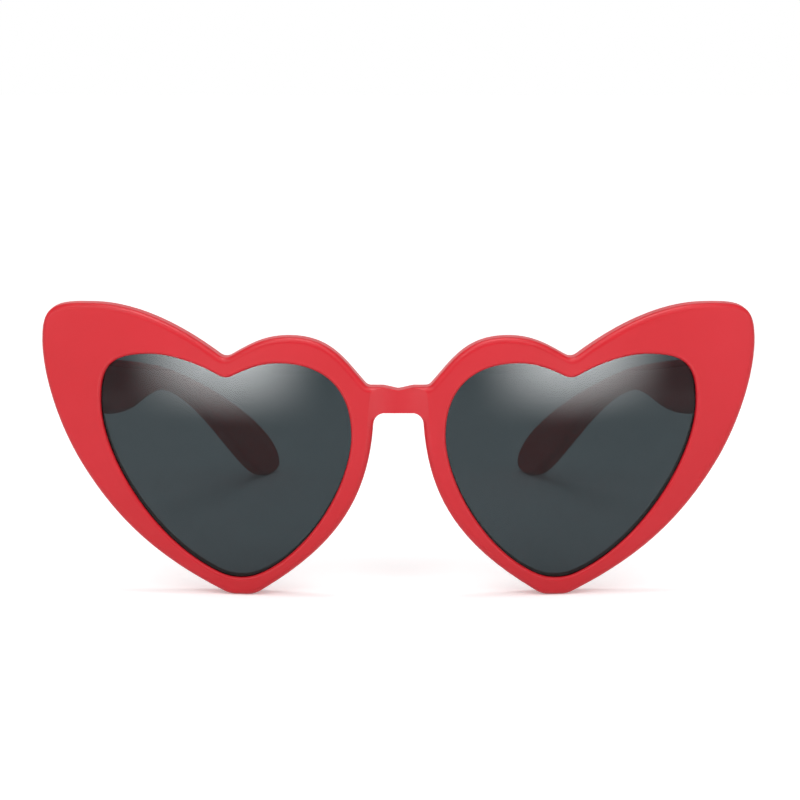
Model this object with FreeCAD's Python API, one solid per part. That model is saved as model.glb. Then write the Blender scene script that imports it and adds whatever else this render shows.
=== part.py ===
import FreeCAD, Part
import math
import os

# Heart-shaped sunglasses, in millimetres: x across the face, y from the front back to the ears, z up.
# They stand as on a table, on two heart tips and two temple tips, with the temples open.
# Left and right are the wearer's: the left half is the +x one and is modelled, the right half mirrors it.

# Lens opening, outwards from the centre plane
NOSE_HALF_GAP = 4.8         # centre plane to the nose edge of the rim
RIM_NOSE = 4.45             # rim width at the nose
LENS_NOSE_REACH = 24.85     # nose edge of the opening to the notch line
LENS_TEMPLE_REACH = 25.0    # notch line to the temple edge of the opening
LENS_INNER_PEAK = 10.8      # notch line in to the top of the inner lobe
LENS_OUTER_PEAK = 14.4      # notch line out to the top of the outer lobe
LENS_TIP_SHIFT = 2.1        # notch line in to the bottom corner

# Lens opening, up from the table and down from the top of the outer lobe
RIM_TIP = 3.1               # table to the bottom corner of the opening
LENS_HEIGHT = 45.45         # bottom corner to the top of the outer lobe
LENS_INNER_DROP = 1.4       # down to the top of the inner lobe
LENS_NOTCH_DROP = 4.75      # down to the point between the lobes
LENS_NOSE_DROP = 15.45      # down to the widest place on the nose side
LENS_TEMPLE_DROP = 9.95     # down to the widest place on the temple side
LENS_NOTCH_R = 3.0          # rounding of the point between the lobes
LENS_TIP_R = 9.5            # rounding of the bottom corner

# Outline of the front, outwards from the lens opening
RIM_NOTCH = 3.9             # rim width at the notch
RIM_INNER_TOP = 5.1         # rim width above the inner lobe
INNER_TOP_SHIFT = 2.0       # top of the rim, in from the top of the inner lobe
RIM_SIDE = 4.45             # rim width low on the temple side
RIM_SIDE_DROP = 12.2        # that place, below the widest place of the opening
WING_RISE = 9.65            # wing top above the outer lobe
WING_SHIFT = 11.8           # wing top out from the outer lobe
WING_REACH = 11.9           # wing end out from the temple edge of the opening
WING_END_RISE = 11.7        # wing end above the widest place of the opening
TIP_FLAT = 4.9              # flat of the heart tip, between its corners
TIP_SHIFT = 0.7             # middle of the flat, in from the bottom corner of the opening
TIP_R = 5.0                 # rounding of the corners of the flat
NOTCH_R = 2.0               # rounding at the bottom of the outer notch

# Bridge
BRIDGE_DROP = 4.6           # inner lobe top of the opening down to the bridge top
BRIDGE_HEIGHT = 5.2
BRIDGE_FLARE = 1.2          # bridge top beyond the nose edge on each side
BRIDGE_DIP = 0.65           # dip in the middle of the bridge top
BRIDGE_DIP_HALF = 2.9
BRIDGE_DIP_R = 2.0          # rounding of the dip and of its shoulders
BRIDGE_CORNER_R = 1.5       # bridge top to rim
NOSE_ARCH_R = 2.2           # bridge underside to rim
VALLEY_DEPTH = 0.8          # hollow down the front of the bridge

# Depth of the front
FRONT_R = 300.0             # the front is moulded to a sphere
FRONT_T = 4.6
FRONT_EDGE_R = 1.2          # rounding of the outline on the front face
BACK_EDGE_R = 0.6           # rounding of the outline on the back
OPENING_EDGE_R = 0.6        # rounding round each lens on the front face
OPENING_BACK_R = 0.4        # rounding round each lens on the back
FRONT_MID_Z = 29.0          # height of the sphere's middle

# Lens
LENS_R = 220.0
LENS_T = 1.3
LENS_DEPTH = 0.55           # lens below the front surface, at its middle
LENS_SEAT = 1.0             # depth of the groove round the opening
LENS_EDGE_FIT = 0.10        # room round the lens edge
LENS_FACE_FIT = 0.03        # room on each face of the lens in the groove

# Nose pads, moulded on the back of the rims
PAD_WIDTH = 2.8
PAD_LENGTH = 15.0
PAD_STAND = 4.0             # pad behind the back of the rim
PAD_TOP_DROP = 2.5          # bridge underside down to the top of the pad
PAD_SPLAY = 3.0             # degrees, pad leaning away from the nose

# Hinge
HINGE_OUT = 3.7             # hinge axis out from the temple edge of the opening
HINGE_RISE = 1.6            # hinge middle above the widest place of the opening
HINGE_SETBACK = 5.5         # hinge axis behind the back of the front
HINGE_TURN = 9.0            # degrees, temple heading inwards at the hinge
BARREL_R = 1.5
BARREL_GAP = 0.3            # room round the barrel in the plastic and in the other leaf
FRONT_KNUCKLE = 2.1
TEMPLE_KNUCKLE = 2.3
WASHER_T = 0.3
WASHER_INSET = 0.1          # washer rim inside the barrel
KNUCKLE_PLAY = 0.03         # end play on each side of the temple knuckle
RUN_FIT = 0.03              # radial room of the screw in the temple knuckle and washers
FIX_FIT = 0.01              # room of parts that sit fast in each other
LEAF_T = 1.0
LEAF_SINK = 0.6             # leaf let into the plastic
TEMPLE_LEAF = 8.0           # leaf length behind the axis
LEAF_FOOT = 0.9             # end of the front leaf behind the back of the front
SCREW_R = 0.6
SCREW_HEAD_R = 1.1
SCREW_HEAD_H = 0.6
SLOT_W = 0.3
SLOT_D = 0.3
RIVET_R = 0.5
RIVET_HEAD_R = 0.85
RIVET_HEAD_H = 0.3
RIVET_SPACING = 3.6         # between the two rivets of a leaf
RIVET_INSET = 1.3           # rivets in from the free end of the leaf
RIVET_SKIN = 0.9            # plastic left beyond the rivets
BUTT_GAP = 0.1              # between end block and temple

# Temple, along its heading at the hinge and down from the hinge middle
TEMPLE_T = 3.6
TEMPLE_BEND_R = 352.0       # bend in plan, inner face
TEMPLE_BUTT = 9.0           # height at the hinge
TEMPLE_LENGTH = 108.4
BUMP_AT = 29.5
BUMP_DROP = 10.3            # underside at the bump
NECK_AT = 44.5
NECK_DROP = 9.0             # underside at the neck
NECK_HEIGHT = 6.2
TIP_REST = 5.6              # resting place ahead of the temple end
TIP_END_RISE = 2.2          # height of the temple end
TEMPLE_EDGE_R = 1.1

# Steel core of the temple
CORE_T = 1.0
CORE_HEIGHT = 2.2
CORE_GAP = 1.5              # core behind the end of the hinge leaf
CORE_END = 14.0             # core end ahead of the temple end
CORE_END_RISE = 10.4        # height of the core end

# Bows of the outlines: headings in degrees at the start and at the end, then the pulls there, in chords
BOWS = {
    "lens_notch": (34, 0, 0.34, 0.25),          # notch to the outer lobe
    "lens_shoulder": (0, -90, 0.61, 0.48),      # outer lobe to the temple side
    "lens_temple": (-90, 196, 0.27, 0.34),      # temple side to the bottom corner
    "lens_nose": (170, 90, 0.33, 0.29),         # bottom corner to the nose side
    "lens_brow": (90, 0, 0.46, 0.44),           # nose side to the inner lobe
    "lens_dip": (0, -27, 0.37, 0.37),           # inner lobe to the notch
    "brow": (47, 0, 0.33, 0.47),                # bridge to the inner top
    "dip": (0, -30, 0.39, 0.40),                # inner top to the notch
    "wing": (37, 0, 0.38, 0.30),                # notch to the wing top
    "wing_end": (0, -90, 0.62, 0.56),           # wing top to the wing end
    "under_wing": (-90, 239, 0.28, 0.33),       # wing end to the side of the rim
    "side": (239, 206, 0.36, 0.38),             # side of the rim to the heart tip
    "nose": (148, 92, 0.42, 0.40),              # heart tip to the nose arch
    "temple_top": (-4, -13, 0.35, 0.35),        # hinge to the neck, along the top
    "temple_back": (-13, -90, 0.33, 0.15),      # neck to the end
    "temple_end": (-90, 180, 0.35, 0.35),       # end to the resting place
    "temple_hollow": (180, 180, 0.14, 0.40),    # resting place to the neck, along the underside
    "temple_neck": (180, 180, 0.40, 0.40),      # neck to the bump
    "temple_bump": (180, 165, 0.40, 0.30),      # bump to the hinge
    "core": (-5, -13, 0.35, 0.35),              # core, hinge leaf to the neck
    "core_back": (-13, -36, 0.35, 0.35),        # core, neck to its end
}

# Heights and places that follow
NOTCH_X = NOSE_HALF_GAP + RIM_NOSE + LENS_NOSE_REACH
OPENING_END = NOTCH_X + LENS_TEMPLE_REACH
LENS_TOP = RIM_TIP + LENS_HEIGHT
INNER_TOP = LENS_TOP - LENS_INNER_DROP
NOTCH_Z = LENS_TOP - LENS_NOTCH_DROP
OPENING_WIDEST = LENS_TOP - LENS_TEMPLE_DROP
BRIDGE_TOP = INNER_TOP - BRIDGE_DROP
BRIDGE_UNDER = BRIDGE_TOP - BRIDGE_HEIGHT
HINGE_X = OPENING_END + HINGE_OUT
HINGE_Z = OPENING_WIDEST + HINGE_RISE
STACK = 2 * FRONT_KNUCKLE + 2 * WASHER_T + 2 * KNUCKLE_PLAY + TEMPLE_KNUCKLE
TEMPLE_FACE = BARREL_R - LEAF_SINK
FRONT_LEAF = HINGE_SETBACK - LEAF_FOOT
RIVET_LENGTH = TEMPLE_FACE + TEMPLE_T - RIVET_SKIN - BARREL_R + LEAF_T
FRONT_CENTRE = FreeCAD.Vector(0, FRONT_R, FRONT_MID_Z)
FRONT_BACK_R = FRONT_R - FRONT_T
OUTLINE_REACH = FRONT_R / 2     # the outlines are drawn out this far back
TOUCH = 0.001                   # points closer than this count as one


def bow(start, end, name):
    """Curve between two (across, up) points with the headings and pulls of the named bow."""
    heading_out, heading_in, pull_out, pull_in = BOWS[name]
    chord = math.dist(start, end)
    out, into = math.radians(heading_out), math.radians(heading_in)
    first = (start[0] + pull_out * chord * math.cos(out), start[1] + pull_out * chord * math.sin(out))
    second = (end[0] - pull_in * chord * math.cos(into), end[1] - pull_in * chord * math.sin(into))
    curve = Part.BezierCurve()
    curve.setPoles([FreeCAD.Vector(x, 0, z) for x, z in (start, first, second, end)])
    return curve.toShape()


def straight(start, end):
    return Part.makeLine(FreeCAD.Vector(start[0], 0, start[1]), FreeCAD.Vector(end[0], 0, end[1]))


def mirrored(shape):
    return shape.mirror(FreeCAD.Vector(0, 0, 0), FreeCAD.Vector(1, 0, 0))


def prism(edges, ahead, behind):
    """Solid between y = -ahead and y = behind with the outline that the edges close."""
    face = Part.Face(Part.Wire(Part.__sortEdges__(edges)))
    face.translate(FreeCAD.Vector(0, -ahead, 0))
    return face.extrude(FreeCAD.Vector(0, ahead + behind, 0))


def round_corners(solid, corner, radius):
    """Rounds the straight edges along y that stand on the corner and on its mirror image."""
    picked = []
    for edge in solid.Edges:
        ends = [vertex.Point for vertex in edge.Vertexes]
        if len(ends) == 2 and math.dist((abs(ends[0].x), ends[0].z), corner) < TOUCH:
            if math.dist((abs(ends[1].x), ends[1].z), corner) < TOUCH:
                picked.append(edge)
    return solid.makeFillet(radius, picked)


def lens_prism(grow):
    """Heart of the left lens opening, grown outwards by the given amount."""
    notch = (NOTCH_X, NOTCH_Z + grow)
    outer_top = (NOTCH_X + LENS_OUTER_PEAK, LENS_TOP + grow)
    temple_side = (OPENING_END + grow, OPENING_WIDEST)
    tip = (NOTCH_X - LENS_TIP_SHIFT, RIM_TIP - grow)
    nose_side = (NOSE_HALF_GAP + RIM_NOSE - grow, LENS_TOP - LENS_NOSE_DROP)
    inner_top = (NOTCH_X - LENS_INNER_PEAK, INNER_TOP + grow)
    edges = [
        bow(notch, outer_top, "lens_notch"),
        bow(outer_top, temple_side, "lens_shoulder"),
        bow(temple_side, tip, "lens_temple"),
        bow(tip, nose_side, "lens_nose"),
        bow(nose_side, inner_top, "lens_brow"),
        bow(inner_top, notch, "lens_dip"),
    ]
    heart = prism(edges, FRONT_T, OUTLINE_REACH)
    heart = round_corners(heart, notch, LENS_NOTCH_R - grow)
    return round_corners(heart, tip, LENS_TIP_R + grow)


def nose_edge():
    """Edge of the rim from the heart tip up to the corner of the nose arch."""
    tip = NOTCH_X - LENS_TIP_SHIFT - TIP_SHIFT
    return bow((tip - TIP_FLAT / 2, 0), (NOSE_HALF_GAP, BRIDGE_UNDER), "nose")


def outline_prism():
    """Outer outline of the whole front."""
    bridge_side = (NOSE_HALF_GAP + BRIDGE_FLARE, BRIDGE_TOP)
    inner_top = (NOTCH_X - LENS_INNER_PEAK - INNER_TOP_SHIFT, INNER_TOP + RIM_INNER_TOP)
    notch = (NOTCH_X, NOTCH_Z + RIM_NOTCH)
    wing_top = (NOTCH_X + LENS_OUTER_PEAK + WING_SHIFT, LENS_TOP + WING_RISE)
    wing_end = (OPENING_END + WING_REACH, OPENING_WIDEST + WING_END_RISE)
    side = (OPENING_END + RIM_SIDE, OPENING_WIDEST - RIM_SIDE_DROP)
    tip = NOTCH_X - LENS_TIP_SHIFT - TIP_SHIFT
    tip_out = (tip + TIP_FLAT / 2, 0)
    tip_in = (tip - TIP_FLAT / 2, 0)
    arch = (NOSE_HALF_GAP, BRIDGE_UNDER)
    dip_side = (BRIDGE_DIP_HALF, BRIDGE_TOP)
    dip = (0, BRIDGE_TOP - BRIDGE_DIP)
    half = [
        straight(dip, dip_side),
        straight(dip_side, bridge_side),
        bow(bridge_side, inner_top, "brow"),
        bow(inner_top, notch, "dip"),
        bow(notch, wing_top, "wing"),
        bow(wing_top, wing_end, "wing_end"),
        bow(wing_end, side, "under_wing"),
        bow(side, tip_out, "side"),
        straight(tip_out, tip_in),
        nose_edge(),
        straight(arch, (0, BRIDGE_UNDER)),
    ]
    outline = prism(half + [mirrored(edge) for edge in half], FRONT_T, OUTLINE_REACH)
    roundings = [
        (bridge_side, BRIDGE_CORNER_R),
        (notch, NOTCH_R),
        (arch, NOSE_ARCH_R),
        (tip_out, TIP_R),
        (tip_in, TIP_R),
        (dip, BRIDGE_DIP_R),
        (dip_side, BRIDGE_DIP_R),
    ]
    for corner, radius in roundings:
        outline = round_corners(outline, corner, radius)
    return outline


def both_sides(shape):
    return [shape, mirrored(shape)]


def sphere_y(x, z, radius):
    """Front side of the sphere of the given radius about the middle of the front."""
    return FRONT_R - math.sqrt(radius ** 2 - x ** 2 - (z - FRONT_MID_Z) ** 2)


def edges_on(solid, distance, target):
    """Edges whose start, middle and end all lie at the target distance."""
    found = []
    for edge in solid.Edges:
        first, last = edge.ParameterRange
        places = [edge.valueAt(p) for p in (first, (first + last) / 2, last)]
        if all(abs(distance(place) - target) < TOUCH for place in places):
            found.append(edge)
    return found


def from_front_centre(point):
    return (point - FRONT_CENTRE).Length


def rim_edges(solid, radius, at_lens):
    """Edges on a face of the front, either round the lens openings or along the outline."""
    opening = lens_prism(LENS_SEAT / 2)
    found = []
    for edge in edges_on(solid, from_front_centre, radius):
        place = edge.valueAt(sum(edge.ParameterRange) / 2)
        place.x = abs(place.x)
        if opening.isInside(place, TOUCH, True) == at_lens:
            found.append(edge)
    return found


def rims():
    """Rims and bridge: the outline moulded to the sphere, with the openings and rounded edges."""
    shell = Part.makeSphere(FRONT_R, FRONT_CENTRE).cut(Part.makeSphere(FRONT_BACK_R, FRONT_CENTRE))
    slab = outline_prism().common(shell)
    slab = slab.cut(both_sides(lens_prism(0)))
    slab = slab.makeFillet(FRONT_EDGE_R, rim_edges(slab, FRONT_R, False))
    slab = slab.makeFillet(BACK_EDGE_R, rim_edges(slab, FRONT_BACK_R, False))
    slab = slab.makeFillet(OPENING_BACK_R, rim_edges(slab, FRONT_BACK_R, True))
    return slab.makeFillet(OPENING_EDGE_R, rim_edges(slab, FRONT_R, True))


def lens_layer(fit):
    """Spherical layer of the left lens, thicker by the fit on each face."""
    x = NOTCH_X + (LENS_TEMPLE_REACH - LENS_NOSE_REACH) / 2
    z = RIM_TIP + LENS_HEIGHT / 2
    middle = FreeCAD.Vector(x, sphere_y(x, z, FRONT_R), z)
    outward = (middle - FRONT_CENTRE).normalize()
    centre = middle - outward * (LENS_DEPTH + LENS_R)
    return Part.makeSphere(LENS_R + fit, centre).cut(Part.makeSphere(LENS_R - LENS_T - fit, centre))


def lens():
    return lens_prism(LENS_SEAT - LENS_EDGE_FIT).common(lens_layer(0))


def lens_groove():
    return lens_prism(LENS_SEAT).common(lens_layer(LENS_FACE_FIT))


def bridge_valley():
    """Upright cylinder that leaves a shallow hollow down the front of the bridge."""
    half = NOSE_HALF_GAP + BRIDGE_FLARE / 2
    radius = (half ** 2 + VALLEY_DEPTH ** 2) / (2 * VALLEY_DEPTH)
    bottom = sphere_y(half, BRIDGE_TOP, FRONT_R) + VALLEY_DEPTH
    foot = FreeCAD.Vector(0, bottom - radius, BRIDGE_UNDER - NOSE_ARCH_R)
    return Part.makeCylinder(radius, BRIDGE_HEIGHT + 2 * NOSE_ARCH_R, foot)


def behind_nose_edge(height):
    """Point on the back of the rim, half a rim width in from the nose edge at a height."""
    curve = nose_edge().Curve
    low, high = 0.0, 1.0
    while high - low > TOUCH ** 2:
        middle = (low + high) / 2
        low, high = (middle, high) if curve.value(middle).z < height else (low, middle)
    inward = curve.tangent(low)[0].cross(FreeCAD.Vector(0, -1, 0))
    point = curve.value(low) + inward * (RIM_NOSE / 2)
    point.y = sphere_y(point.x, point.z, FRONT_BACK_R)
    return point


def nose_pad():
    """Egg along the nose edge, half sunk in the back of the rim and leaning away from the nose."""
    top = behind_nose_edge(BRIDGE_UNDER - PAD_TOP_DROP)
    middle = behind_nose_edge(BRIDGE_UNDER - PAD_TOP_DROP - PAD_LENGTH / 2)
    bottom = behind_nose_edge(BRIDGE_UNDER - PAD_TOP_DROP - PAD_LENGTH)
    stretch = FreeCAD.Matrix()
    stretch.scale(PAD_WIDTH / 2, PAD_STAND, (top - bottom).Length / 2)
    egg = Part.makeSphere(1).transformGeometry(stretch)
    lean = FreeCAD.Rotation(FreeCAD.Vector(0, 0, 1), -PAD_SPLAY)
    along = FreeCAD.Rotation(FreeCAD.Vector(0, 0, 1), top - bottom)
    egg.Placement = FreeCAD.Placement(middle, along * lean)
    return egg


def hinge_middle():
    return FreeCAD.Vector(HINGE_X, sphere_y(HINGE_X, HINGE_Z, FRONT_BACK_R) + HINGE_SETBACK, HINGE_Z)


def at_hinge(shape):
    """Moves a shape from the hinge's own frame: x outwards, y along the temple, z from the hinge middle."""
    placed = shape.copy()
    placed.rotate(FreeCAD.Vector(0, 0, 0), FreeCAD.Vector(0, 0, 1), HINGE_TURN)
    placed.translate(hinge_middle())
    return placed


def upright(radius, low, high):
    """Cylinder about the hinge axis."""
    return Part.makeCylinder(radius, high - low, FreeCAD.Vector(0, 0, low))


def box(x, y, z):
    """Box between pairs of limits."""
    corner = FreeCAD.Vector(x[0], y[0], z[0])
    return Part.makeBox(x[1] - x[0], y[1] - y[0], z[1] - z[0], corner)


def end_block():
    """Block behind the wing that carries the hinge, in line with the temple."""
    depth = HINGE_SETBACK + 2 * FRONT_T
    half = TEMPLE_BUTT / 2
    block = box((TEMPLE_FACE, TEMPLE_FACE + TEMPLE_T), (-depth, -BUTT_GAP / 2), (-half, half))
    along = [edge for edge in block.Edges if abs(edge.tangentAt(0).y) > 1 - TOUCH]
    block = at_hinge(block.makeFillet(TEMPLE_EDGE_R, along))
    return block.common(Part.makeSphere(FRONT_R - FRONT_T / 2, FRONT_CENTRE))


def rivet_places(leaf):
    """Heights of the rivets, and their place along the leaf, signed like its length."""
    along = math.copysign(abs(leaf) - RIVET_INSET, leaf)
    return [FreeCAD.Vector(BARREL_R - LEAF_T, along, side * RIVET_SPACING / 2) for side in (-1, 1)]


def rivet_holes(leaf):
    out = FreeCAD.Vector(1, 0, 0)
    size = (RIVET_R + FIX_FIT, RIVET_LENGTH + FIX_FIT)
    return [Part.makeCylinder(*size, place, out) for place in rivet_places(leaf)]


def rivets(leaf):
    """Two headed rivets from the inner face of the leaf into the plastic."""
    out = FreeCAD.Vector(1, 0, 0)
    made = []
    for place in rivet_places(leaf):
        head = Part.makeCylinder(RIVET_HEAD_R, RIVET_HEAD_H, place - out * RIVET_HEAD_H, out)
        rim = edges_on(head, lambda point: point.x, place.x - RIVET_HEAD_H)
        head = head.makeFillet(RIVET_HEAD_H / 2, rim)
        made.append(head.fuse(Part.makeCylinder(RIVET_R, RIVET_LENGTH, place, out)).removeSplitter())
    return Part.makeCompound(made)


def leaf_plate(leaf, fit):
    """Plate of a leaf on the side of the axis that the sign of its length gives."""
    ends = sorted((0, leaf + math.copysign(fit, leaf)))
    half = STACK / 2 + fit
    return box((BARREL_R - LEAF_T, BARREL_R + fit), ends, (-half, half))


def leaf_pocket(leaf):
    """Room in the plastic for a leaf, its rivets and the barrel."""
    room = upright(BARREL_R + BARREL_GAP, -TEMPLE_BUTT, TEMPLE_BUTT)
    return [leaf_plate(leaf, FIX_FIT), room] + rivet_holes(leaf)


def front_hinge_leaf():
    """Leaf with the top and bottom knuckles."""
    plate = leaf_plate(-FRONT_LEAF, 0)
    inner = STACK / 2 - FRONT_KNUCKLE
    plate = plate.cut(upright(BARREL_R + BARREL_GAP, -inner, inner))
    plate = plate.fuse([upright(BARREL_R, inner, STACK / 2), upright(BARREL_R, -STACK / 2, -inner)])
    holes = [upright(SCREW_R + FIX_FIT, -STACK, STACK)] + rivet_holes(-FRONT_LEAF)
    return plate.cut(holes).removeSplitter()


def temple_hinge_leaf():
    """Leaf with the middle knuckle."""
    plate = leaf_plate(TEMPLE_LEAF, 0)
    half = TEMPLE_KNUCKLE / 2
    room = BARREL_R + BARREL_GAP
    plate = plate.cut([upright(room, half, STACK), upright(room, -STACK, -half)])
    plate = plate.fuse(upright(BARREL_R, -half, half))
    holes = [upright(SCREW_R + RUN_FIT, -STACK, STACK)] + rivet_holes(TEMPLE_LEAF)
    return plate.cut(holes).removeSplitter()


def hinge_screw():
    """Slotted screw, the pivot, flush with the bottom knuckle."""
    top = STACK / 2 + SCREW_HEAD_H
    head = upright(SCREW_HEAD_R, STACK / 2, top)
    head = head.makeFillet(SCREW_HEAD_H / 2, edges_on(head, lambda point: point.z, top))
    slot = box((-SCREW_HEAD_R, SCREW_HEAD_R), (-SLOT_W / 2, SLOT_W / 2), (top - SLOT_D, top))
    return head.fuse(upright(SCREW_R, -STACK / 2, STACK / 2)).removeSplitter().cut(slot)


def hinge_washers():
    """Two washers, each against a front knuckle."""
    low = TEMPLE_KNUCKLE / 2 + KNUCKLE_PLAY
    ring = upright(BARREL_R - WASHER_INSET, low, low + WASHER_T).cut(upright(SCREW_R + RUN_FIT, 0, STACK))
    return Part.makeCompound([ring, ring.mirror(FreeCAD.Vector(0, 0, 0), FreeCAD.Vector(0, 0, 1))])


def from_bend_axis(point):
    return math.dist((point.x, point.y), (TEMPLE_FACE - TEMPLE_BEND_R, 0))


def bent(edges, inner, thickness):
    """Solid with a side outline (along, up), bent in plan about the temple's bend axis."""
    side = prism(edges, TEMPLE_LENGTH, TEMPLE_LENGTH)
    side.rotate(FreeCAD.Vector(0, 0, 0), FreeCAD.Vector(0, 0, 1), 90)
    axis = FreeCAD.Vector(TEMPLE_FACE - TEMPLE_BEND_R, 0, -TEMPLE_LENGTH)
    ring = Part.makeCylinder(inner + thickness, 2 * TEMPLE_LENGTH, axis)
    return side.common(ring.cut(Part.makeCylinder(inner, 2 * TEMPLE_LENGTH, axis)))


def temple():
    """Temple from the butt at the hinge to the tip that rests on the table."""
    butt = BUTT_GAP / 2
    top = (butt, TEMPLE_BUTT / 2)
    neck_top = (NECK_AT, NECK_HEIGHT - NECK_DROP)
    end = (TEMPLE_LENGTH, TIP_END_RISE - HINGE_Z)
    rest = (TEMPLE_LENGTH - TIP_REST, -HINGE_Z)
    neck = (NECK_AT, -NECK_DROP)
    bump = (BUMP_AT, -BUMP_DROP)
    under = (butt, -TEMPLE_BUTT / 2)
    edges = [
        bow(top, neck_top, "temple_top"),
        bow(neck_top, end, "temple_back"),
        bow(end, rest, "temple_end"),
        bow(rest, neck, "temple_hollow"),
        bow(neck, bump, "temple_neck"),
        bow(bump, under, "temple_bump"),
        straight(under, top),
    ]
    solid = bent(edges, TEMPLE_BEND_R, TEMPLE_T)
    long_edges = []
    for face in (TEMPLE_BEND_R, TEMPLE_BEND_R + TEMPLE_T):
        on_face = edges_on(solid, from_bend_axis, face)
        long_edges += [edge for edge in on_face if edge.CenterOfMass.y > 2 * butt]
    return solid.makeFillet(TEMPLE_EDGE_R, long_edges)


def temple_core():
    """Flat steel strip along the middle of the temple."""
    start = (TEMPLE_LEAF + CORE_GAP, 0)
    neck = (NECK_AT, NECK_HEIGHT / 2 - NECK_DROP)
    end = (TEMPLE_LENGTH - CORE_END, CORE_END_RISE - HINGE_Z)
    edges = []
    rows = []
    for shift in (CORE_HEIGHT / 2, -CORE_HEIGHT / 2):
        places = [(along, up + shift) for along, up in (start, neck, end)]
        edges.append(bow(places[0], places[1], "core"))
        edges.append(bow(places[1], places[2], "core_back"))
        rows.append(places)
    edges += [straight(rows[0][0], rows[1][0]), straight(rows[0][2], rows[1][2])]
    return bent(edges, TEMPLE_BEND_R + (TEMPLE_T - CORE_T) / 2, CORE_T)


def front_frame():
    front = rims().fuse(both_sides(end_block()) + both_sides(nose_pad()))
    cuts = [bridge_valley()] + both_sides(lens_groove())
    for tool in leaf_pocket(-FRONT_LEAF):
        cuts += both_sides(at_hinge(tool))
    return front.cut(cuts)


def left_pieces():
    """Pieces that come in pairs, as the left one of each."""
    core = temple_core()
    return {
        "lens": lens(),
        "temple": at_hinge(temple().cut(leaf_pocket(TEMPLE_LEAF) + [core])),
        "temple_core": at_hinge(core),
        "front_hinge_leaf": at_hinge(front_hinge_leaf()),
        "temple_hinge_leaf": at_hinge(temple_hinge_leaf()),
        "hinge_screw": at_hinge(hinge_screw()),
        "hinge_washers": at_hinge(hinge_washers()),
        "front_hinge_rivets": at_hinge(rivets(-FRONT_LEAF)),
        "temple_hinge_rivets": at_hinge(rivets(TEMPLE_LEAF)),
    }


def pieces():
    """All pieces, centred front to back, with the table at z = 0."""
    made = {"front_frame": front_frame()}
    for name, shape in left_pieces().items():
        made[name + "_left"], made[name + "_right"] = both_sides(shape)
    depth = Part.makeCompound([made["front_frame"], made["temple_left"]]).optimalBoundingBox(False)
    shift = FreeCAD.Vector(0, -(depth.YMin + depth.YMax) / 2, 0)
    for shape in made.values():
        shape.translate(shift)
    print("left hinge axis through", hinge_middle() + shift)
    return made


os.makedirs("parts", exist_ok=True)
for node, solid in pieces().items():
    solid.exportStep(f"parts/{node}.step")
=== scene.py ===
import math

import bpy
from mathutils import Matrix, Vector

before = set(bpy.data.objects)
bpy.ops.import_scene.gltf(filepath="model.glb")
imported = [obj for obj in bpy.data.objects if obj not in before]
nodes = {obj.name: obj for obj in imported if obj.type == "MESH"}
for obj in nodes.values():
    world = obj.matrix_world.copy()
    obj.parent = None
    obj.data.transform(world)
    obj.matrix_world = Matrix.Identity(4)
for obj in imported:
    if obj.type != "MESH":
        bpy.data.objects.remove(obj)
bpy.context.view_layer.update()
scene = bpy.context.scene
scene.view_settings.view_transform = "Standard"

# Places in metres, in the frame of the part: x across the face, y back to the ears, z up from the table
FRONT_Y = -0.0610           # foremost point of the front
FRONT_MIDDLE = (0, FRONT_Y, 0.03)

CAMERA_AHEAD = 0.400        # camera in front of the foremost point
CAMERA_HEIGHT = 0.112
CAMERA_PITCH = 10.174       # degrees below level
CAMERA_LENS = 93.59         # mm
CAMERA_SENSOR = 36          # mm, the picture's width
CAMERA_SHIFT = 0.00194      # the object stands a little left of the picture's middle
CAMERA_CLIP = 0.01          # nothing nearer is seen

WHITE = (1, 1, 1, 1)
FILL = 0.35                 # strength of the world where it isn't seen
CEILING_RISE = (0.17, 0.45)     # the seen backdrop dims between these heights of the view
CEILING_LEVEL = (1.0, 0.4)      # from white to this
FLOOR_HALF = 3.0            # half the floor's width
FLOOR_COLOUR = (0.95, 0.95, 0.95, 1)
FLOOR_REACH = (0.15, 0.9)   # distances from the origin between which the lift grows
FLOOR_LIFT = (0.30, 0.80)   # light added to the floor where it is seen, near the object and far from it

NOISE_SWING = (0.3, 0.7)    # the part of a noise's range that counts
NOISE_ROUGHNESS = 0.55

# Lamps: the power is the radiance times pi times the area. Those of a pair are given for the left side, at +x.
INNER_LAMP = {"place": (0, 0.01, 0.16), "target": (0, 0.01, 0), "size": (0.05, 0.10), "radiance": 20.0}
TOP_LAMP = {"place": (0, -0.02, 0.75), "target": (0, -0.02, 0), "size": (0.55, 0.42), "radiance": 6.4}
HIGH_LAMP = {
    "place": (0.276, FRONT_Y - 0.33, 0.54),
    "target": FRONT_MIDDLE,
    "size": (0.45, 0.40),
    "radiance": 3.2,
}
SIDE_LAMP = {
    "place": (0.50, FRONT_Y - 0.42, 0.20),
    "target": FRONT_MIDDLE,
    "size": (0.25, 0.30),
    "radiance": 4.4,
}
LOW_CARD = {
    "place": (0.0875, FRONT_Y - 0.21, 0.003),
    "target": (0.0875, FRONT_Y - 0.21, 1),
    "size": (0.075, 0.14),
    "radiance": 9.0,
}
SHEEN_LAMP = {
    "place": (0.1125, FRONT_Y - 0.22, 0.038),
    "target": (0.1125, FRONT_Y, 0.038),
    "size": (0.165, 0.072),
    "radiance": 56.0,
}
# Shares of a lamp's width or height over which it fades from its left, right, lower and upper edge
EVEN_FADE = (0.3, 0.3, 0.3, 0.3)
CARD_FADE = (0.15, 0.15, 0.15, 0.15)
SHEEN_FADE = {"left": (0.46, 0.58, 1.0, 0.05), "right": (0.58, 0.46, 1.0, 0.05)}


def add_node(tree, kind, **values):
    """Adds a node; keys that name an input set it, the others set a property."""
    node = tree.nodes.new(kind)
    for key, value in values.items():
        label = key.replace("_", " ")
        if label in node.inputs:
            node.inputs[label].default_value = value
        else:
            setattr(node, key, value)
    return node


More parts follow.
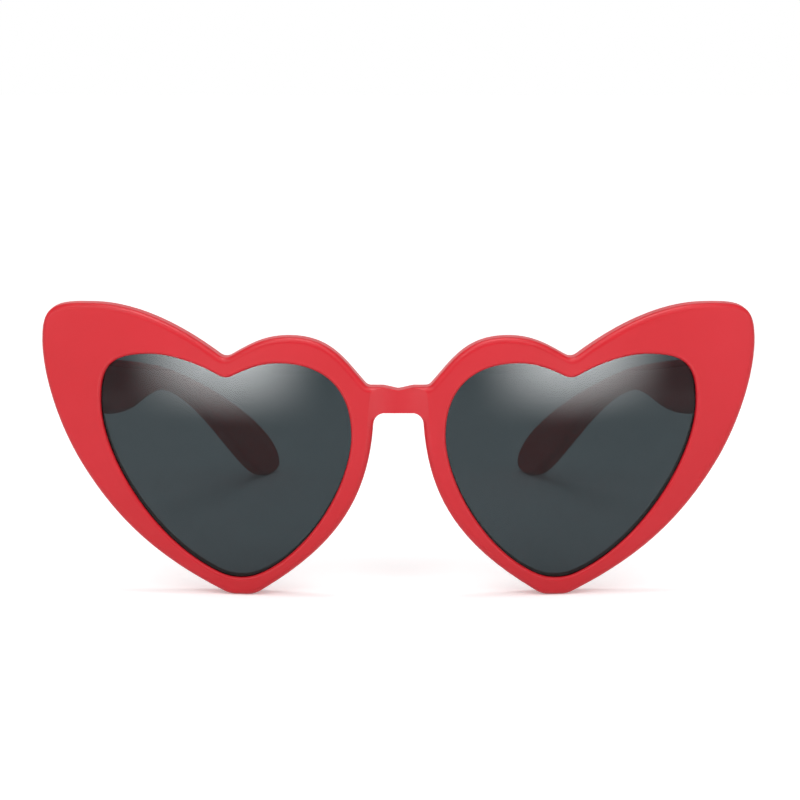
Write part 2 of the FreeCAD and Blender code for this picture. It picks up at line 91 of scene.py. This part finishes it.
def cleared_tree(owner):
    """The emptied node tree of a material or world."""
    owner.use_nodes = True
    owner.node_tree.nodes.clear()
    return owner.node_tree


def new_material(name):
    """A material with a Principled shader, and its node tree."""
    made = bpy.data.materials.new(name)
    tree = cleared_tree(made)
    shader = add_node(tree, "ShaderNodeBsdfPrincipled")
    out = add_node(tree, "ShaderNodeOutputMaterial")
    tree.links.new(shader.outputs["BSDF"], out.inputs["Surface"])
    return made, tree, shader


def map_range(tree, value, source, target, curve="LINEAR"):
    """Maps a value from one range to another."""
    ranged = add_node(tree, "ShaderNodeMapRange", interpolation_type=curve)
    for name, number in zip(("From Min", "From Max", "To Min", "To Max"), (*source, *target)):
        ranged.inputs[name].default_value = number
    tree.links.new(value, ranged.inputs["Value"])
    return ranged.outputs["Result"]


def combine(tree, operation, first, second):
    """Result of a Math node on two values."""
    node = add_node(tree, "ShaderNodeMath", operation=operation)
    tree.links.new(first, node.inputs[0])
    tree.links.new(second, node.inputs[1])
    return node.outputs["Value"]


def noise(tree, scale, detail, stretch=(1, 1, 1)):
    """Noise in the object's own metres; a larger stretch packs it closer along that axis."""
    place = add_node(tree, "ShaderNodeTexCoord")
    mapping = add_node(tree, "ShaderNodeMapping", Scale=stretch)
    texture = add_node(tree, "ShaderNodeTexNoise", Scale=scale, Detail=detail, Roughness=NOISE_ROUGHNESS)
    tree.links.new(place.outputs["Object"], mapping.inputs["Vector"])
    tree.links.new(mapping.outputs["Vector"], texture.inputs["Vector"])
    return texture.outputs["Fac"]


def colour_by(tree, shader, value, first, second):
    """Base colour that goes from the first to the second with a noise."""
    ramp = add_node(tree, "ShaderNodeValToRGB")
    for element, position, colour in zip(ramp.color_ramp.elements, NOISE_SWING, (first, second)):
        element.position = position
        element.color = (*colour, 1)
    tree.links.new(value, ramp.inputs["Fac"])
    tree.links.new(ramp.outputs["Color"], shader.inputs["Base Color"])


def roughness_by(tree, shader, value, low, high):
    """Roughness that goes from low to high with a noise."""
    tree.links.new(map_range(tree, value, NOISE_SWING, (low, high)), shader.inputs["Roughness"])


def bump_by(tree, shader, value, depth):
    """Relief of the given depth in metres."""
    relief = add_node(tree, "ShaderNodeBump", Strength=1.0, Distance=depth)
    tree.links.new(value, relief.inputs["Height"])
    tree.links.new(relief.outputs["Normal"], shader.inputs["Normal"])


def red_plastic():
    """Moulded plastic: an even dye with faint flow clouds, and a satin skin with a fine orange peel."""
    made, tree, shader = new_material("red_plastic")
    clouds = noise(tree, scale=55, detail=3)
    colour_by(tree, shader, clouds, first=(0.515, 0.003, 0.010), second=(0.550, 0.0055, 0.015))
    roughness_by(tree, shader, noise(tree, scale=900, detail=4), low=0.36, high=0.43)
    bump_by(tree, shader, noise(tree, scale=1400, detail=2), depth=0.000006)
    shader.inputs["IOR"].default_value = 1.45
    return made


def smoke_lens():
    """Dyed polycarbonate: clear, grey with a breath of blue, with a very faint moulding wave."""
    made, tree, shader = new_material("smoke_lens")
    dye = noise(tree, scale=30, detail=2)
    colour_by(tree, shader, dye, first=(0.030, 0.042, 0.047), second=(0.034, 0.046, 0.051))
    roughness_by(tree, shader, noise(tree, scale=60, detail=2), low=0.004, high=0.010)
    bump_by(tree, shader, noise(tree, scale=60, detail=1), depth=0.000002)
    shader.inputs["Transmission Weight"].default_value = 1.0
    shader.inputs["IOR"].default_value = 1.25
    return made


def steel(name, dark, light, smooth, rough, stretch, depth):
    """Drawn or turned steel with fine marks, drawn out where the stretch is small."""
    made, tree, shader = new_material(name)
    marks = noise(tree, scale=900, detail=4, stretch=stretch)
    colour_by(tree, shader, marks, dark, light)
    roughness_by(tree, shader, marks, smooth, rough)
    bump_by(tree, shader, marks, depth)
    shader.inputs["Metallic"].default_value = 1.0
    return made


def nylon():
    """Milky washers with a matt grain."""
    made, tree, shader = new_material("nylon")
    grain = noise(tree, scale=2500, detail=3)
    colour_by(tree, shader, grain, first=(0.72, 0.70, 0.64), second=(0.82, 0.80, 0.75))
    roughness_by(tree, shader, grain, low=0.45, high=0.6)
    bump_by(tree, shader, grain, depth=0.000004)
    return made


def dress():
    """Gives every piece its finish."""
    plastic = red_plastic()
    glass = smoke_lens()
    leaf = steel("hinge_steel", dark=(0.50, 0.50, 0.51), light=(0.66, 0.66, 0.67),
                 smooth=0.24, rough=0.40, stretch=(1, 1, 0.06), depth=0.000003)
    screw = steel("screw_steel", dark=(0.42, 0.42, 0.44), light=(0.60, 0.60, 0.62),
                  smooth=0.18, rough=0.32, stretch=(1, 1, 4), depth=0.000002)
    core = steel("core_steel", dark=(0.46, 0.45, 0.44), light=(0.58, 0.57, 0.56),
                 smooth=0.30, rough=0.45, stretch=(1, 0.05, 1), depth=0.000003)
    washer = nylon()
    finishes = {
        "front_frame": plastic,
        "temple_core": core,
        "temple_hinge_leaf": leaf,
        "front_hinge_leaf": leaf,
        "hinge_screw": screw,
        "hinge_washers": washer,
        "front_hinge_rivets": screw,
        "temple_hinge_rivets": screw,
        "lens": glass,
        "temple": plastic,
    }
    for name, node in nodes.items():
        finish = finishes[name.removesuffix("_left").removesuffix("_right")]
        node.data.materials.clear()
        node.data.materials.append(finish)


def seen_rays(tree):
    """1 for rays that show a surface to the camera, straight or by a mirror or through glass."""
    path = add_node(tree, "ShaderNodeLightPath")
    total = path.outputs["Is Camera Ray"]
    for name in ("Is Glossy Ray", "Is Transmission Ray"):
        total = combine(tree, "MAXIMUM", total, path.outputs[name])
    return total


def studio_world():
    """White backdrop under a dimmer ceiling where it is seen, and a soft fill for everything else."""
    world = bpy.data.worlds.new("studio")
    scene.world = world
    tree = cleared_tree(world)
    fill = add_node(tree, "ShaderNodeBackground", Color=WHITE, Strength=FILL)
    backdrop = add_node(tree, "ShaderNodeBackground", Color=WHITE)
    way = add_node(tree, "ShaderNodeTexCoord")
    parts = add_node(tree, "ShaderNodeSeparateXYZ")
    tree.links.new(way.outputs["Generated"], parts.inputs["Vector"])
    level = map_range(tree, parts.outputs["Z"], CEILING_RISE, CEILING_LEVEL, "SMOOTHSTEP")
    tree.links.new(level, backdrop.inputs["Strength"])
    mix = add_node(tree, "ShaderNodeMixShader")
    out = add_node(tree, "ShaderNodeOutputWorld")
    tree.links.new(seen_rays(tree), mix.inputs["Fac"])
    tree.links.new(fill.outputs["Background"], mix.inputs[1])
    tree.links.new(backdrop.outputs["Background"], mix.inputs[2])
    tree.links.new(mix.outputs["Shader"], out.inputs["Surface"])


def white_floor():
    """Pale floor that keeps the shadows, lifted towards white where it is seen."""
    mesh = bpy.data.meshes.new("floor")
    corners = [(-1, -1), (1, -1), (1, 1), (-1, 1)]
    mesh.from_pydata([(x * FLOOR_HALF, y * FLOOR_HALF, 0) for x, y in corners], [], [(0, 1, 2, 3)])
    floor = bpy.data.objects.new("floor", mesh)
    scene.collection.objects.link(floor)
    made = bpy.data.materials.new("floor")
    tree = cleared_tree(made)
    matt = add_node(tree, "ShaderNodeBsdfDiffuse", Color=FLOOR_COLOUR)
    lift = add_node(tree, "ShaderNodeEmission", Color=WHITE)
    place = add_node(tree, "ShaderNodeNewGeometry")
    away = add_node(tree, "ShaderNodeVectorMath", operation="LENGTH")
    tree.links.new(place.outputs["Position"], away.inputs["Vector"])
    amount = map_range(tree, away.outputs["Value"], FLOOR_REACH, FLOOR_LIFT, "SMOOTHSTEP")
    tree.links.new(combine(tree, "MULTIPLY", seen_rays(tree), amount), lift.inputs["Strength"])
    both = add_node(tree, "ShaderNodeAddShader")
    out = add_node(tree, "ShaderNodeOutputMaterial")
    tree.links.new(matt.outputs["BSDF"], both.inputs[0])
    tree.links.new(lift.outputs["Emission"], both.inputs[1])
    tree.links.new(both.outputs["Shader"], out.inputs["Surface"])
    mesh.materials.append(made)


def mirrored(point, side):
    """The point on the left for side 1, on the right for side -1."""
    return Vector((side * point[0], point[1], point[2]))


def softbox(name, given, fades, side=1, only=()):
    """Area lamp that fades towards its edges; with a list of objects it lights only those."""
    width, height = given["size"]
    lamp = bpy.data.lights.new(name, "AREA")
    lamp.shape = "RECTANGLE"
    lamp.size, lamp.size_y = width, height
    lamp.energy = given["radiance"] * math.pi * width * height
    lamp.use_nodes = True
    tree = lamp.node_tree
    where = add_node(tree, "ShaderNodeNewGeometry")
    parts = add_node(tree, "ShaderNodeSeparateXYZ")
    tree.links.new(where.outputs["Parametric"], parts.inputs["Vector"])
    strength = None
    for axis, edge, share in zip("XXYY", (0, 1, 0, 1), fades):
        fade = map_range(tree, parts.outputs[axis], (edge, abs(edge - share)), (0, 1), "SMOOTHSTEP")
        strength = combine(tree, "MULTIPLY", strength, fade) if strength else fade
    tree.links.new(strength, tree.nodes["Emission"].inputs["Strength"])
    place = mirrored(given["place"], side)
    facing = mirrored(given["target"], side) - place
    made = bpy.data.objects.new(name, lamp)
    made.location = place
    made.rotation_euler = facing.to_track_quat("-Z", "Y").to_euler()
    made.visible_camera = False
    scene.collection.objects.link(made)
    if only:
        lit = bpy.data.collections.new(name + "_lights")
        for thing in only:
            lit.objects.link(thing)
        made.light_linking.receiver_collection = lit


def studio_light():
    """Softboxes above, high in front and to both sides, and low ones for single pieces."""
    temples = [nodes["temple_left"], nodes["temple_right"]]
    plastic = [nodes["front_frame"], *temples]
    # Shows the red of the temples through the lenses
    softbox("inner", INNER_LAMP, EVEN_FADE, only=temples)
    softbox("top", TOP_LAMP, EVEN_FADE)
    for name, side in (("left", 1), ("right", -1)):
        softbox("high_" + name, HIGH_LAMP, EVEN_FADE, side)
        softbox("side_" + name, SIDE_LAMP, EVEN_FADE, side)
        # Lies before the front, for the paler ends of the bridge
        softbox("low_" + name, LOW_CARD, CARD_FADE, side, plastic)
        # Gives the glow that the lens mirrors
        softbox("sheen_" + name, SHEEN_LAMP, SHEEN_FADE[name], side, [nodes["lens_" + name]])


def photo_camera():
    """The camera worked out from the photograph."""
    camera = bpy.data.cameras.new("camera")
    camera.sensor_width = CAMERA_SENSOR
    camera.lens = CAMERA_LENS
    camera.shift_x = CAMERA_SHIFT
    camera.clip_start = CAMERA_CLIP
    made = bpy.data.objects.new("camera", camera)
    made.location = (0, FRONT_Y - CAMERA_AHEAD, CAMERA_HEIGHT)
    made.rotation_euler = (math.radians(90 - CAMERA_PITCH), 0, 0)
    scene.collection.objects.link(made)
    scene.camera = made


dress()
studio_world()
white_floor()
studio_light()
photo_camera()
